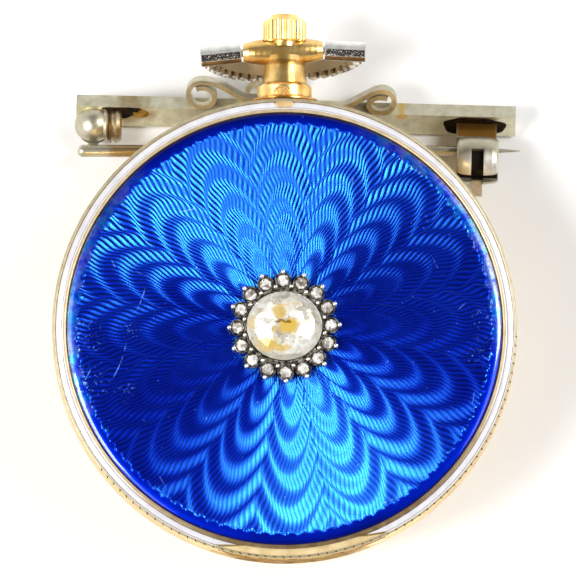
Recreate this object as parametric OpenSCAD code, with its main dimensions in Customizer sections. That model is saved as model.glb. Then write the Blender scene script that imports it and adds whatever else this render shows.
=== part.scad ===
// Ladies' pendant watch hanging from a bar brooch, laid down with its enamelled back up.
// Millimetres. +X is to the right of the enamel, +Y points to the crown, +Z out of the enamel.
// The origin is the centre of the crystal's flat table, which the watch lies on.

/* [Case] */
// Outside radius of the case band
case_r = 15; // [14.8:0.1:15.4]
// Height at which the enamel meets its gold rim
enamel_z = 8; // [7.95:0.05:8.05]
// Width of the outer gold edge of the lid
edge_w = 0.23; // [0.2:0.01:0.3]
// Width of the white enamel ring
white_w = 0.38; // [0.3:0.01:0.45]
// Width of the gold ring between the white and the blue enamel
inner_gold_w = 0.29; // [0.2:0.01:0.35]
// Rise of the blue enamel's dome at its centre
dome_rise = 0.6; // [0.4:0.05:0.9]
// Chord of the gold thumb lip that parts the white ring at 6 o'clock, at the outer edge
lip_chord = 10.8; // [9:0.1:12]
// Direction of the middle of the thumb lip in degrees
lip_angle = 274.5; // [270:0.1:280]
// Chord of the gold toe under the pendant at 12 o'clock
toe_chord = 1.4; // [1:0.05:1.8]

/* [Glass and dial] */
// Radius of the crystal's flat table
table_r = 9.2; // [8.8:0.1:9.3]
// Thickness of the crystal's table
glass_t = 0.9; // [0.7:0.1:1.1]
// Length of the minute hand
minute_l = 8.8; // [7:0.1:9.4]
// Length of the hour hand
hour_l = 5.9; // [5:0.1:6.5]
// Hour shown by the hands
shown_hour = 10; // [1:1:12]
// Minute shown by the hands
shown_minute = 9; // [0:1:59]

/* [Diamond cluster] */
// Number of small stones round the cluster
ring_stones = 16; // [12:2:16]
// Radius of the circle through the small stones
ring_r = 3.0; // [2.95:0.01:3.05]
// Girdle radius of a small stone
small_r = 0.4; // [0.36:0.01:0.41]
// Half width of the centre stone
centre_rx = 2.44; // [2.35:0.01:2.45]
// Half height of the centre stone
centre_ry = 2.24; // [2.1:0.01:2.3]
// Height of the centre stone's table above the enamel
centre_h = 1.62; // [1.3:0.02:1.8]

/* [Pendant and crown] */
// Height of the winding stem's axis
stem_z = 6; // [5.95:0.05:6.05]
// Distance of the pivot barrel's axis from the case centre
barrel_y = 18.36; // [18.3:0.02:18.4]
// Turn of the pivot barrel in the plane of the case, in degrees
barrel_turn = 1.8; // [0:0.1:2.5]
// Radius of the crown over its flutes
crown_r = 1.42; // [1.3:0.01:1.5]
// Number of flutes round the crown
flutes = 22; // [14:1:24]

/* [Bow] */
// Mean radius of the bow's half ring
bow_r = 4.85; // [4.8:0.01:4.9]
// Radial thickness of the half ring
bow_t = 0.7; // [0.5:0.05:0.75]
// Lean of the hanging bow towards the case, in degrees
bow_lean = 7; // [5:0.5:9]
// Radius of the bow's barrel-shaped ends
knuckle_r = 0.64; // [0.5:0.01:0.65]
// Droop of those ends in degrees
knuckle_droop = 4.2; // [0:0.1:5]
// Stones on each leg of the bow
leg_stones = 7; // [5:1:7]

/* [Brooch] */
// Length of the brooch bar
bar_l = 28.5; // [27.9:0.1:29]
// Height of the bar's back face
bar_h = 2.2; // [2.1:0.05:2.3]
// Thickness of the bar
bar_t = 0.9; // [0.8:0.05:1]
// Lean of the bar's back face away from level, in degrees
bar_lean = 65; // [64:0.5:66]
// Turn of the brooch on the table, in degrees
bar_turn = -1.573; // [-2:0.001:-1]
// Radius of the ball joint
ball_r = 1.22; // [1.1:0.01:1.3]
// Radius of the pin at its thick end
pin_r = 0.4; // [0.35:0.01:0.42]
// Outside radius of the catch housing
catch_r = 1.54; // [1.48:0.01:1.58]
// Thickness of the scrolls' strip
strip_t = 0.3; // [0.2:0.01:0.32]
// Width of the scrolls' strip
strip_w = 0.9; // [0.7:0.05:1]

/* [Hidden] */
$fn = 96;
fit = 0.02;
run = 0.05;

function two(i) = i < 10 ? str("0", i) : str(i);
function arc(c, r, a0, a1, n) = [for (i = [0:n]) let (a = a0 + (a1 - a0) * i / n) c + r * [cos(a), sin(a)]];

// Case levels
band_low_z = 5.5;
lid_low_z = 6.95;
band_top_z = lid_low_z - 0.03;
band_in_r = case_r - 1.8;
plate_top_z = enamel_z - 0.65;
groove_z = enamel_z - 0.4;
rim_top_z = enamel_z + 0.12;
white_out_r = case_r - edge_w;
white_in_r = white_out_r - white_w;
blue_r = white_in_r - inner_gold_w;
dome_r = blue_r * blue_r / (2 * dome_rise) + dome_rise / 2;
dome_steps = 12;
post_r = 0.5;
lip_out = 0.05;
lip_h = 0.8;
lip_half = asin(lip_chord / 2 / case_r);
lip_slant = 6.5;
lip_over = 0.2;
lip_gap_angle = 0.15;

// Glass, bezel and dial
glass_h = 2.18;
glass_r = table_r + glass_h;
flange_r = case_r - 3.06;
flange_z = 2.7;
dial_r = case_r - 2.75;
dial_z = 4.02;
dial_t = 0.38;
arbor_r = 0.22;
arbor_low_z = 3.12;
hour_z = 3.62;
minute_z = 3.16;
hand_t = 0.1;
ledge_z = 5;
stem_r = 0.4;

// Cluster
setting_z = enamel_z + dome_rise;
cup_r = small_r + 0.13;
cup_top_z = setting_z + 0.46;
small_girdle_z = setting_z + 0.4;
bead_ring_r = ring_r + 0.56;
inner_bead_ring_r = 2.62;

// Pendant
neck_y = case_r + 0.03;
barrel_x = -0.1;
barrel_l = 5.16;
barrel_mid_r = 0.92;
barrel_end_r = 0.56;
pivot_r = 0.26;
pivot_bore_l = 1.5;
crown_y = barrel_y + 0.28;
crown_gap = 0.05;
crown_collar_r = 0.93;
crown_collar_l = 0.3;
crown_l = 2.12;
stem_in_y = 11;

// Bow, in its own frame: x along the pivot, the half ring hanging down
knuckle_in = 2.72;
knuckle_l = 2.62;
bow_front = -0.35;
bow_back = 0.42;
collet_r = 0.36;
collet_h = 0.15;
leg_first = 14;
leg_last = 66;

// Brooch, in its own frame: x along the bar, y across its back face, z out of it
bar_x = 0.74;
bar_y = 14.9;
bar_z = bar_h / 2 * sin(bar_lean) + bar_t / 2 * cos(bar_lean) + 0.003;
back_z = bar_t / 2;
ball_x = -13.1;
pin_y = -0.15;
ball_z = back_z + 0.61;
tongue_r = 0.5;
tongue_y = -0.45;
tongue_t = 0.44;
tongue_slot_w = 0.6;
rivet_r = 0.2;
rivet_l = 1.76;
rivet_shift = -0.12;
pin_off = 2.04;
pin_x = ball_x - 0.6;
pin_slope = 1.85;
pin_mid_r = 0.35;
pin_in_catch_r = 0.15;
pin_tip_r = 0.03;
pin_l = 28.3;
pin_mid_l = 0.83 * pin_l;
pin_catch_l = 0.95 * pin_l;
catch_x = 11.85;
catch_y = -0.25;
catch_z = back_z + 2.48;
catch_l = 2.7;
catch_bore_r = 1.22;
rotor_in_r = 1.0;
mouth_angle = 86;
mouth_w = 0.72;
lever_angle = 118;
lever_w = 0.45;
lever_slot_w = 0.8;
curl_from = 120;
curl_steps = 18;

// Places that several sub-parts share

module along_y(y) {
    translate([0, y, stem_z]) rotate([-90, 0, 0]) children();
}

module pivot_frame() {
    translate([barrel_x, barrel_y, stem_z]) rotate([0, 0, barrel_turn]) children();
}

module bow_frame() {
    pivot_frame() rotate([-bow_lean, 0, 0]) children();
}

module brooch_frame() {
    translate([bar_x, bar_y, bar_z]) rotate([0, 0, bar_turn]) rotate([bar_lean, 0, 0]) children();
}

module joint_frame() {
    translate([ball_x, pin_y, ball_z]) children();
}

module rivet_place() {
    translate([0, rivet_shift, 0]) rotate([90, 0, 0]) children();
}

module catch_frame() {
    translate([catch_x, catch_y, catch_z]) rotate([0, 90, 0]) rotate([0, 0, 90]) children();
}

// Gold that crosses the white ring at the lip. Its ends slant by lip_slant over the ring's width,
// so that it is longest at the outer edge and the white runs out in points along the inner one.
module lip_sector(gap_angle) {
    mid_half = lip_half - lip_slant / 2 + gap_angle;
    end_lean = lip_slant * (0.5 + lip_over / white_w);
    rotate([0, 0, lip_angle]) translate([0, 0, groove_z - 0.1]) linear_extrude(1) polygon(concat(
        arc([0, 0], white_in_r - lip_over, end_lean - mid_half, mid_half - end_lean, 24),
        arc([0, 0], white_out_r + lip_over, mid_half + end_lean, -mid_half - end_lean, 24)
    ));
}

// The toe at 12 o'clock: a circle that bites into the white ring from outside
module toe_bite(grow) {
    depth = white_w - 0.04;
    r = toe_chord * toe_chord / (8 * depth) + depth / 2;
    translate([0, white_out_r - depth + r, groove_z - 0.1]) cylinder(r = r + grow, h = 1);
}

// Case

module neck() {
    along_y(neck_y) rotate_extrude() polygon([
        [0, 0], [2.05, 0], [2.13, 0.06], [2.13, 0.14], [1.86, 0.22], [1.77, 0.32],
        [1.77, 0.95], [1.58, 1.1], [1.46, 1.16], [1.38, 1.8], [1.32, 2.5], [1.2, 3], [0, 3]
    ]);
}

// Half section of the barrel: a smooth swelling between two small end rings
function barrel_radius(x) = barrel_end_r + (barrel_mid_r - barrel_end_r) * pow(cos(180 * x / barrel_l), 0.7);

module barrel() {
    half = barrel_l / 2;
    steps = 14;
    pivot_frame() rotate([0, 90, 0]) rotate_extrude() polygon(concat(
        [[0, -half], [barrel_end_r, -half]],
        [for (i = [1:steps - 1]) let (x = -half + barrel_l * i / steps) [barrel_radius(x), x]],
        [[barrel_end_r, half], [0, half]]
    ));
}

module case_body() color("goldenrod") difference() {
    union() {
        rotate_extrude() polygon([
            [band_in_r, band_low_z], [case_r - 0.12, band_low_z], [case_r, band_low_z + 0.1],
            [case_r, band_low_z + 0.5], [case_r - 0.06, band_low_z + 0.56],
            [case_r - 0.06, band_low_z + 0.62], [case_r, band_low_z + 0.68],
            [case_r, band_top_z - 0.1], [case_r - 0.1, band_top_z], [band_in_r, band_top_z]
        ]);
        intersection() {
            along_y(band_in_r + 0.8) cylinder(r = 1.9, h = neck_y - band_in_r - 0.7);
            translate([-2, band_in_r, band_low_z + 0.1])
                cube([4, neck_y - band_in_r + 0.2, band_top_z - band_low_z - 0.2]);
        }
        neck();
        barrel();
    }
    along_y(band_in_r - 1) cylinder(r = stem_r + run, h = barrel_y - band_in_r + 2);
    along_y(crown_y - crown_gap) cylinder(r = crown_collar_r + 0.07, h = 1);
    along_y(crown_y + crown_collar_l - crown_gap) cylinder(r = crown_r + 0.06, h = 1);
    for (side = [-1, 1])
        pivot_frame() translate([side * (barrel_l / 2 - pivot_bore_l / 2 + 0.25), 0, 0])
            rotate([0, 90, 0]) cylinder(r = pivot_r + 0.04, h = pivot_bore_l + 0.5, center = true);
}

module bezel() color("goldenrod") rotate_extrude() polygon([
    [glass_r + 0.06, 2.3], [glass_r + 0.17, 2.3], [flange_r - 0.14, 2.6],
    [case_r - 0.35, band_low_z - 0.05], [case_r - 2, band_low_z - 0.05], [case_r - 2, ledge_z],
    [dial_r + 0.1, ledge_z], [dial_r + 0.1, 3.5], [flange_r + 0.06, 3.15],
    [flange_r + 0.06, flange_z - 0.04], [glass_r + 0.06, flange_z - 0.04]
]);

module crystal() color([0.8, 0.9, 1, 0.5]) rotate_extrude() polygon([
    [0, 0], [table_r, 0], [glass_r, glass_h], [glass_r, flange_z], [flange_r, flange_z],
    [flange_r, 3.1], [glass_r - 0.48, 3.1], [table_r - 0.4, glass_t], [0, glass_t]
]);

module dial() color("ivory") translate([0, 0, dial_z]) difference() {
    cylinder(r = dial_r, h = dial_t);
    translate([0, 0, -1]) cylinder(r = 0.5, h = 2);
}

module movement() color("silver") difference() {
    union() {
        translate([0, 0, dial_z + dial_t + 0.05]) cylinder(r = dial_r, h = 1);
        translate([0, 0, ledge_z + 0.05]) cylinder(r = case_r - 2.15, h = lid_low_z - ledge_z - 0.15);
        translate([0, 0, arbor_low_z]) cylinder(r = arbor_r, h = 2);
    }
    along_y(stem_in_y - 0.8) cylinder(r = stem_r + 0.06, h = 5);
}

// A flat hand with a round boss, an oval swelling and a slim point
module hand(length, width, boss_r, bore_r, boss_h, z) {
    translate([0, 0, z]) difference() {
        union() {
            linear_extrude(hand_t) polygon([
                [-width / 2, -length * 0.2], [width / 2, -length * 0.2],
                [width / 2, length * 0.55], [width / 6, length], [-width / 6, length],
                [-width / 2, length * 0.55]
            ]);
            translate([0, length * 0.62, 0]) cylinder(r = width * 1.1, h = hand_t);
            cylinder(r = boss_r, h = boss_h);
        }
        translate([0, 0, -1]) cylinder(r = bore_r, h = 3);
    }
}

module hour_hand() color("midnightblue")
    rotate([0, 0, 30 * (shown_hour + shown_minute / 60)])
        hand(hour_l, 0.42, 0.48, arbor_r + 0.04, 0.34, hour_z);

module minute_hand() color("midnightblue")
    rotate([0, 0, 6 * shown_minute])
        hand(minute_l, 0.34, 0.42, arbor_r + 0.04, 0.36, minute_z);

// Back lid and its enamels

module back_rim() color("gold") difference() {
    union() {
        rotate_extrude() polygon([
            [0, lid_low_z + 0.05], [band_in_r - 0.25, lid_low_z + 0.05],
            [band_in_r - 0.25, lid_low_z - 0.35], [band_in_r - 0.03, lid_low_z - 0.35],
            [band_in_r - 0.03, lid_low_z], [case_r - 0.1, lid_low_z], [case_r, lid_low_z + 0.1],
            [case_r, rim_top_z - 0.16], [case_r - 0.1, rim_top_z], [white_out_r, rim_top_z],
            [white_out_r, groove_z], [white_in_r, groove_z], [white_in_r, rim_top_z - 0.02],
            [blue_r, rim_top_z - 0.02], [blue_r, plate_top_z], [0, plate_top_z]
        ]);
        rotate([0, 0, lip_angle - lip_half]) rotate_extrude(angle = 2 * lip_half)
            translate([white_out_r + fit, lid_low_z + 0.2]) square([edge_w - fit + lip_out, lip_h]);
        intersection() {
            rotate_extrude() translate([white_in_r - 0.1, groove_z - 0.1])
                square([white_w + 0.2, rim_top_z - groove_z + 0.1]);
            union() {
                lip_sector(0);
                toe_bite(0);
            }
        }
    }
    translate([0, 0, lid_low_z - 1]) cylinder(r = post_r + run, h = 3);
}

module white_ring() color("white") difference() {
    rotate_extrude() polygon([
        [white_in_r + fit, groove_z], [white_out_r - fit, groove_z],
        [white_out_r - fit, rim_top_z - 0.05], [white_out_r - white_w / 2, rim_top_z],
        [white_in_r + fit, rim_top_z - 0.05]
    ]);
    lip_sector(lip_gap_angle);
    toe_bite(fit);
}

// Height of the enamel's dome at radius r
function dome_z(r) = setting_z - dome_r + sqrt(dome_r * dome_r - r * r);

module enamel_disc() color([0.05, 0.2, 0.8]) difference() {
    rotate_extrude() polygon(concat(
        [[0, plate_top_z], [blue_r - fit, plate_top_z]],
        [for (i = [dome_steps:-1:0]) let (r = (blue_r - fit) * i / dome_steps) [r, dome_z(r)]]
    ));
    translate([0, 0, lid_low_z]) cylinder(r = post_r + run, h = 3);
}

// Diamond cluster

function oval(rx, ry, n, turn) = [for (i = [0:n - 1])
    let (a = 360 * i / n + turn) [rx * cos(a), ry * sin(a)]];

// Each layer is a height above the base with the half widths, corner count and turn of its outline
module cut_stone(layers) {
    hull() for (l = layers)
        translate([0, 0, l[0]]) linear_extrude(0.02) polygon(oval(l[1], l[2], l[3], l[4]));
}

module ring_place(i) {
    rotate([0, 0, 91.5 + 360 * (i - 1) / ring_stones]) translate([ring_r, 0, 0]) children();
}

module stone_setting() color("silver") {
    bead_r = 0.15;
    difference() {
        union() {
            translate([0, 0, setting_z]) cylinder(r = ring_r - 0.1, h = 0.24);
            translate([0, 0, setting_z]) cylinder(r = centre_rx + 0.1, h = 0.55);
            translate([0, 0, lid_low_z + 0.08]) cylinder(r = post_r, h = setting_z - lid_low_z);
            for (i = [1:ring_stones]) {
                ring_place(i) translate([0, 0, setting_z]) cylinder(r = cup_r, h = cup_top_z - setting_z);
                ring_place(i) translate([bead_ring_r - ring_r, 0, setting_z]) cylinder(r = 0.1, h = 0.5);
                ring_place(i) translate([bead_ring_r - ring_r, 0, setting_z + 0.52])
                    sphere(r = bead_r, $fn = 32);
                rotate([0, 0, 360 / ring_stones * (i - 0.5) + 91.5])
                    translate([inner_bead_ring_r, 0, setting_z + 0.56]) sphere(r = 0.13, $fn = 32);
            }
        }
        for (i = [1:ring_stones])
            ring_place(i) translate([0, 0, setting_z + 0.16]) cylinder(r = small_r + 0.03, h = 1);
        translate([0, 0, setting_z + 0.24]) linear_extrude(0.4)
            polygon(oval(centre_rx + 0.03, centre_ry + 0.03, 48, 0));
    }
}

module centre_stone() color([0.9, 0.9, 0.85]) translate([0, 0, setting_z]) cut_stone([
    [0.27, centre_rx * 0.75, centre_ry * 0.75, 16, 0],
    [0.62, centre_rx, centre_ry, 32, 0],
    [0.7, centre_rx, centre_ry, 32, 0],
    [centre_h * 0.75, centre_rx * 0.8, centre_ry * 0.8, 16, 11.25],
    [centre_h, centre_rx * 0.42, centre_ry * 0.42, 8, 0]
]);

module small_stone(i) color([0.9, 0.9, 0.92]) ring_place(i) translate([0, 0, setting_z]) cut_stone([
    [0.18, small_r * 0.6, small_r * 0.6, 8, 0],
    [0.42, small_r, small_r, 8, 0],
    [0.56, small_r * 0.68, small_r * 0.68, 8, 22.5],
    [0.66, small_r * 0.34, small_r * 0.34, 8, 0]
]);

// Winding parts

module winding_stem() color("silver") along_y(stem_in_y) cylinder(r = stem_r, h = crown_y + 1.4 - stem_in_y);

module crown() color("gold") along_y(crown_y) difference() {
    intersection() {
        rotate_extrude() polygon([
            [0, 0], [crown_collar_r, 0], [crown_collar_r, crown_collar_l],
            [crown_r - 0.12, crown_collar_l], [crown_r, crown_collar_l + 0.1],
            [crown_r, crown_l - 0.52], [crown_r - 0.12, crown_l - 0.36],
            [crown_collar_r + 0.08, crown_l - 0.26], [crown_collar_r, crown_l - 0.16],
            [crown_collar_r - 0.08, crown_l - 0.04], [crown_collar_r - 0.25, crown_l], [0, crown_l]
        ]);
        union() {
            cylinder(r = crown_r - 0.13, h = crown_l);
            for (i = [0:flutes - 1])
                rotate([0, 0, 360 * i / flutes]) translate([crown_r - 0.24, 0, 0])
                    cylinder(r = 0.24, h = crown_l, $fn = 32);
        }
    }
    translate([0, 0, -1]) cylinder(r = stem_r + run, h = 2.5);
}

// Bow

module leg_place(i) {
    step = (leg_last - leg_first) / (leg_stones - 1);
    a = i <= leg_stones ? leg_first + step * (i - 1) : 180 - leg_first - step * (2 * leg_stones - i);
    bow_frame() translate([bow_r * cos(a), bow_front, -bow_r * sin(a)]) rotate([90, 0, 0]) children();
}

module bow() color("silver") difference() {
    union() {
        bow_frame() rotate([-90, 0, 0]) rotate_extrude(angle = 180)
            translate([bow_r - bow_t / 2, bow_front]) square([bow_t, bow_back - bow_front]);
        for (side = [-1, 1]) {
            pivot_frame() rotate([0, 0, side < 0 ? 180 : 0]) {
                translate([knuckle_in, 0, 0]) rotate([0, 0, -side * knuckle_droop]) rotate([0, 90, 0])
                    cylinder(r = knuckle_r, h = knuckle_l);
                translate([barrel_l / 2 - pivot_bore_l + 0.1, 0, 0]) rotate([0, 90, 0])
                    cylinder(r = pivot_r, h = knuckle_in - barrel_l / 2 + pivot_bore_l + 0.2);
            }
        }
        for (i = [1:2 * leg_stones])
            leg_place(i) cylinder(r = collet_r, h = collet_h + 0.1);
    }
    for (i = [1:2 * leg_stones])
        leg_place(i) translate([0, 0, collet_h]) cylinder(r = collet_r - 0.07, h = 1);
}

module bow_stone(i) color([0.9, 0.9, 0.92]) leg_place(i) translate([0, 0, collet_h]) cut_stone([
    [0, 0.26, 0.26, 8, 0],
    [0.08, 0.27, 0.27, 8, 0],
    [0.17, 0.19, 0.19, 8, 22.5],
    [0.22, 0.1, 0.1, 8, 0]
]);

// Brooch

// Path of a scroll, from its oval inner curl to the flat end of its tail.
// Its origin is the foot of the outer curl.
function scroll_path(outer, curl_x, curl_rx, curl_ry, fall, run_l, foot, slope, tail) =
    let (
        inner = [for (i = [0:curl_steps]) let (a = curl_from - (curl_from + 90) * i / curl_steps)
            [curl_x + curl_rx * cos(a), curl_ry + curl_ry * sin(a)]],
        outer_c = [0, outer],
        top = [0, 2 * outer],
        fall_c = top - [0, fall],
        a = arc(fall_c, fall, 90, 90 - slope, 8),
        b = a[8] + run_l * [cos(slope), -sin(slope)],
        foot_c = b + foot * [sin(slope), cos(slope)],
        c = arc(foot_c, foot, 270 - slope, 270, 6)
    )
    concat(
        inner,
        arc(outer_c, outer, 270, 90, 20),
        [for (i = [1:8]) a[i]],
        c,
        [c[6] + [tail, 0]]
    );

function side_points(path, off) = [for (i = [0:len(path) - 1])
    let (
        before = path[max(i - 1, 0)],
        after = path[min(i + 1, len(path) - 1)],
        d = (after - before) / norm(after - before)
    )
    path[i] + off * [-d[1], d[0]]];

function reversed(points) = [for (i = [len(points) - 1:-1:0]) points[i]];

module strip(path) {
    linear_extrude(strip_w, center = true)
        polygon(concat(side_points(path, strip_t / 2), reversed(side_points(path, -strip_t / 2))));
}

// The scrolls stand on the bar's top face, in a plane that leans 35 degrees out of it
module scrolls() {
    left_x = -6.15;
    right_x = 5.6;
    translate([0, bar_h / 2, 0]) rotate([-35, 0, 0]) {
        translate([left_x, -0.1, 0]) strip(scroll_path(0.86, 0.05, 0.8, 0.66, 3.1, 0.9, 1.7, 31, 0.9));
        translate([right_x, -0.16, 0]) mirror([1, 0, 0])
            strip(scroll_path(0.75, 0.1, 0.8, 0.52, 1.35, 1.55, 1.5, 31, 1.5));
    }
}

// Link round the foot of the bow, soldered to the front of the bar behind the pendant, with a curled wire
module hanging_loop() {
    link_y = barrel_y - 0.46;
    link_z = stem_z - bow_r + 0.02;
    half = 0.45;
    module stadium(r) {
        square([2 * half, 2 * r], center = true);
        for (s = [-1, 1])
            translate([s * half, 0]) circle(r = r);
    }
    translate([-0.2, link_y, link_z]) rotate([90, 0, 90]) linear_extrude(0.4) difference() {
        stadium(0.88);
        stadium(0.5);
    }
    translate([0, link_y - half - 0.7, 1]) rotate([90, 0, 0]) cylinder(r = 0.25, h = 1.35);
    translate([-1.8, bar_y + 1.58, 0.25]) rotate([0, 0, 70])
        rotate_extrude(angle = 220) translate([0.42, 0]) square([0.34, 0.75]);
    translate([-1.73, bar_y + 0.4, 0.25]) cube([0.34, 0.95, 0.75]);
}

module ball_joint() {
    joint_frame() difference() {
        union() {
            sphere(r = ball_r);
            rotate([0, 90, 0]) rotate_extrude() polygon([
                [0, 0], [1.0, 0.6], [1.12, 0.82], [1.0, 0.98], [1.15, 1.14], [1.03, 1.3],
                [1.17, 1.5], [1.05, 1.72], [0.9, 1.82], [0, 1.82]
            ]);
        }
        translate([-2, tongue_y - tongue_slot_w / 2, back_z + 0.05 - ball_z]) cube([2.75, tongue_slot_w, 3]);
        rivet_place() cylinder(r = rivet_r + fit, h = rivet_l + 0.06, center = true);
    }
}

// Ring sector in the catch's own frame: angles run from the bar's upper edge towards the pin side
module sector(r0, r1, a0, a1, w) {
    translate([0, 0, -w / 2]) rotate([0, 0, a0]) rotate_extrude(angle = a1 - a0)
        translate([r0, 0]) square([r1 - r0, w]);
}

module mouth(w) {
    rotate([0, 0, mouth_angle]) translate([0, -w / 2, -catch_l]) cube([catch_r + 1, w, 2 * catch_l]);
}

// Half section of the catch housing: a short barrel that is rounded towards both ends
function catch_profile() =
    let (
        half = catch_l / 2,
        drops = [[1, 0.23], [0.9, 0.12], [0.7, 0.04], [0.4, 0]]
    )
    concat(
        [[0, -half]],
        [for (i = [0:3]) [catch_r - drops[i][1], -half * drops[i][0]]],
        [for (i = [3:-1:0]) [catch_r - drops[i][1], half * drops[i][0]]],
        [[0, half]]
    );

module catch_housing() {
    difference() {
        union() {
            catch_frame() rotate_extrude() polygon(catch_profile());
            translate([catch_x - 1.41, -0.9, back_z - 0.05]) cube([2.6, 1.28, 1.2]);
        }
        catch_frame() {
            cylinder(r = catch_bore_r, h = 2 * catch_l, center = true);
            mouth(mouth_w);
            sector(1, catch_r + 0.5, 4, lever_angle + 14, lever_slot_w);
        }
    }
}

module brooch_bar() color([0.75, 0.73, 0.68]) {
    brooch_frame() {
        cube([bar_l, bar_h, bar_t], center = true);
        ball_joint();
        catch_housing();
        scrolls();
    }
    hanging_loop();
}

module hinge_rivet() color("dimgray") brooch_frame() joint_frame()
    rivet_place() cylinder(r = rivet_r, h = rivet_l, center = true);

module pin_stem() color([0.7, 0.68, 0.62]) brooch_frame() difference() {
    union() {
        joint_frame() {
            translate([0, tongue_y, 0]) rotate([90, 0, 0])
                cylinder(r = tongue_r, h = tongue_t, center = true);
            translate([-0.35, tongue_y - tongue_t / 2, 0]) cube([0.7, tongue_t, pin_off]);
            translate([-0.35, tongue_y - tongue_t / 2, pin_off - 0.3]) cube([0.7, tongue_t + 0.2, 0.3]);
        }
        translate([pin_x, pin_y, ball_z + pin_off]) {
            sphere(r = pin_r, $fn = 48);
            rotate([0, 90 + pin_slope, 0]) {
                cylinder(r1 = pin_r, r2 = pin_mid_r, h = pin_mid_l);
                translate([0, 0, pin_mid_l])
                    cylinder(r1 = pin_mid_r, r2 = pin_in_catch_r, h = pin_catch_l - pin_mid_l);
                translate([0, 0, pin_catch_l])
                    cylinder(r1 = pin_in_catch_r, r2 = pin_tip_r, h = pin_l - pin_catch_l);
            }
        }
    }
    joint_frame() rotate([90, 0, 0]) cylinder(r = rivet_r + 0.04, h = 2, center = true);
}

module catch_rotor() color("dimgray") brooch_frame() catch_frame() {
    difference() {
        cylinder(r = catch_bore_r - run, h = catch_l - 0.12, center = true);
        cylinder(r = rotor_in_r, h = catch_l, center = true);
        mouth(mouth_w + 0.06);
    }
    rotate([0, 0, lever_angle]) translate([rotor_in_r + 0.05, -lever_w / 2, -0.34])
        cube([1.3, lever_w, 0.68]);
}

case_body();
bezel();
crystal();
dial();
movement();
hour_hand();
minute_hand();
back_rim();
white_ring();
enamel_disc();
stone_setting();
centre_stone();
for (i = [1:ring_stones]) small_stone(i);
winding_stem();
crown();
bow();
for (i = [1:2 * leg_stones]) bow_stone(i);
brooch_bar();
hinge_rivet();
pin_stem();
catch_rotor();
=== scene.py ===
"""Looks of a ladies' pendant watch lying on its crystal, with the bar brooch that it hangs from."""
import functools
import random
from math import copysign, cos, hypot, pi, radians, sin, sqrt

import bpy
import numpy as np
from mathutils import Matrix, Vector


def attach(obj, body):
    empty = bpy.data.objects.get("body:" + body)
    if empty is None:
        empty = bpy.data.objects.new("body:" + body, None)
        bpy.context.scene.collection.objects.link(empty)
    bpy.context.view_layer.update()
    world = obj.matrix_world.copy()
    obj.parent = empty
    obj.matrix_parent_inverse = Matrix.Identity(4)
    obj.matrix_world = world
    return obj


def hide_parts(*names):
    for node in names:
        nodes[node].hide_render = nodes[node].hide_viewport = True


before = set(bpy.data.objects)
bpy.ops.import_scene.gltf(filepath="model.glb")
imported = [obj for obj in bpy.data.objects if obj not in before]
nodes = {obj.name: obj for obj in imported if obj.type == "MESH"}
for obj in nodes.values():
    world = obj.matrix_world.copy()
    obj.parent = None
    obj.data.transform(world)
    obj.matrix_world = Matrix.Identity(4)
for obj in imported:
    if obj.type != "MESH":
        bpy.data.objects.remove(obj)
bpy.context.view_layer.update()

scene = bpy.context.scene
MM = 0.001
TAU = 2 * pi


# The photograph's frame, with its pixels to a millimetre at the enamel's edge
IMAGE_PX = 576
PX_PER_MM = 15.5
CASE_CENTRE_PX = (284.5, 328.5)
CASE_CENTRE_Z = 8.0
CAMERA_ELEVATION = radians(82)
CAMERA_DISTANCE = 1.5
CLIP_NEAR, CLIP_FAR = 0.01, 20
SENSOR_MM = 36.0


def new(name, data):
    """An object in the scene that holds the data."""
    piece = bpy.data.objects.new(name, data)
    scene.collection.objects.link(piece)
    return piece


def add_camera():
    """Looks down at the enamel, 8 degrees off the vertical, through a long lens."""
    up = Vector((0, sin(CAMERA_ELEVATION), cos(CAMERA_ELEVATION)))
    towards = Vector((0, -cos(CAMERA_ELEVATION), sin(CAMERA_ELEVATION)))
    across = (IMAGE_PX / 2 - CASE_CENTRE_PX[0]) / PX_PER_MM
    upward = (CASE_CENTRE_PX[1] - IMAGE_PX / 2) / PX_PER_MM
    target = (Vector((across, 0, CASE_CENTRE_Z)) + upward * up) * MM
    camera = new("camera", bpy.data.cameras.new("camera"))
    camera.data.sensor_width = SENSOR_MM
    camera.data.lens = SENSOR_MM * CAMERA_DISTANCE / (IMAGE_PX / PX_PER_MM * MM)
    camera.data.clip_start, camera.data.clip_end = CLIP_NEAR, CLIP_FAR
    camera.location = target + towards * CAMERA_DISTANCE
    camera.rotation_euler = (-towards).to_track_quat("-Z", "Y").to_euler()
    scene.camera = camera


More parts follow.
